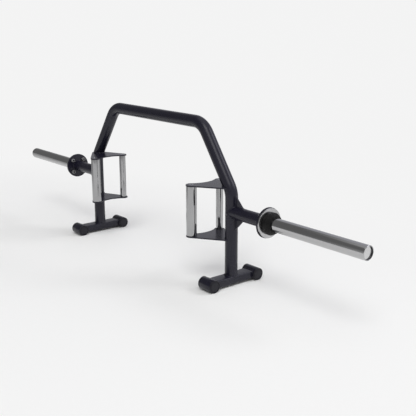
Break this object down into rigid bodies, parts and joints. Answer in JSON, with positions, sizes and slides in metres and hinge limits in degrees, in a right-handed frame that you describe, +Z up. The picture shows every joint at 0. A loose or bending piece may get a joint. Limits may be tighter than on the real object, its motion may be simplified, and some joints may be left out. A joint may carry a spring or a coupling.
{
  "type": "trap bar",
  "caption": "Open arch trap bar with thick and thin vertical grips, splayed tube feet and plate sleeves that turn freely.",
  "frame": {"origin": "on the floor, midway between the two posts", "axes": "+X along the right-hand sleeve, outwards; +Y to the back, the side of the thin grips; +Z up"},
  "size_m": [2.2, 0.2662, 0.6231],
  "materials": {
    "black_paint": "satin",
    "chrome": "polished",
    "zinc_steel": "zinc plated",
    "black_rubber": "matte",
    "black_plastic": "matte",
    "bronze": "turned"
  },
  "bodies": {
    "frame": {"frame_tube": "black_paint", "base_tube_left": "black_paint", "foot_tube_front_left": "black_paint", "foot_cap_front_left_inner": "black_plastic", "foot_cap_front_left_outer": "black_plastic", "foot_tube_back_left": "black_paint", "foot_cap_back_left_inner": "black_plastic", "foot_cap_back_left_outer": "black_plastic", "stub_tube_left": "black_paint", "gusset_upper_left": "black_paint", "gusset_lower_left": "black_paint", "flange_plate_left": "black_paint", "flange_screw_left_1": "zinc_steel", "flange_screw_left_2": "zinc_steel", "flange_screw_left_3": "zinc_steel", "flange_screw_left_4": "zinc_steel", "grip_plate_upper_left": "black_paint", "grip_plate_lower_left": "black_paint", "thick_grip_left": "chrome", "grip_screw_thick_upper_left": "zinc_steel", "grip_screw_thick_lower_left": "zinc_steel", "thin_grip_left": "chrome", "grip_screw_thin_upper_left": "zinc_steel", "grip_screw_thin_lower_left": "zinc_steel", "spindle_left": "chrome", "retaining_ring_left": "zinc_steel", "base_tube_right": "black_paint", "foot_tube_front_right": "black_paint", "foot_cap_front_right_inner": "black_plastic", "foot_cap_front_right_outer": "black_plastic", "foot_tube_back_right": "black_paint", "foot_cap_back_right_inner": "black_plastic", "foot_cap_back_right_outer": "black_plastic", "stub_tube_right": "black_paint", "gusset_upper_right": "black_paint", "gusset_lower_right": "black_paint", "flange_plate_right": "black_paint", "flange_screw_right_1": "zinc_steel", "flange_screw_right_2": "zinc_steel", "flange_screw_right_3": "zinc_steel", "flange_screw_right_4": "zinc_steel", "grip_plate_upper_right": "black_paint", "grip_plate_lower_right": "black_paint", "thick_grip_right": "chrome", "grip_screw_thick_upper_right": "zinc_steel", "grip_screw_thick_lower_right": "zinc_steel", "thin_grip_right": "chrome", "grip_screw_thin_upper_right": "zinc_steel", "grip_screw_thin_lower_right": "zinc_steel", "spindle_right": "chrome", "retaining_ring_right": "zinc_steel"},
    "sleeve_left": {"sleeve_tube_left": "chrome", "bumper_ring_left": "black_rubber", "sleeve_bush_left": "bronze", "end_cap_left": "chrome"},
    "sleeve_right": {"sleeve_tube_right": "chrome", "bumper_ring_right": "black_rubber", "sleeve_bush_right": "bronze", "end_cap_right": "chrome"}
  },
  "joints": [
    {"name": "sleeve_left_turn", "type": "hinge", "parent": "frame", "child": "sleeve_left", "pos_m": [-0.6693, 0, 0.285], "axis": [1, 0, 0], "continuous": true},
    {"name": "sleeve_right_turn", "type": "hinge", "parent": "frame", "child": "sleeve_right", "pos_m": [0.6693, 0, 0.285], "axis": [1, 0, 0], "continuous": true}
  ]
}
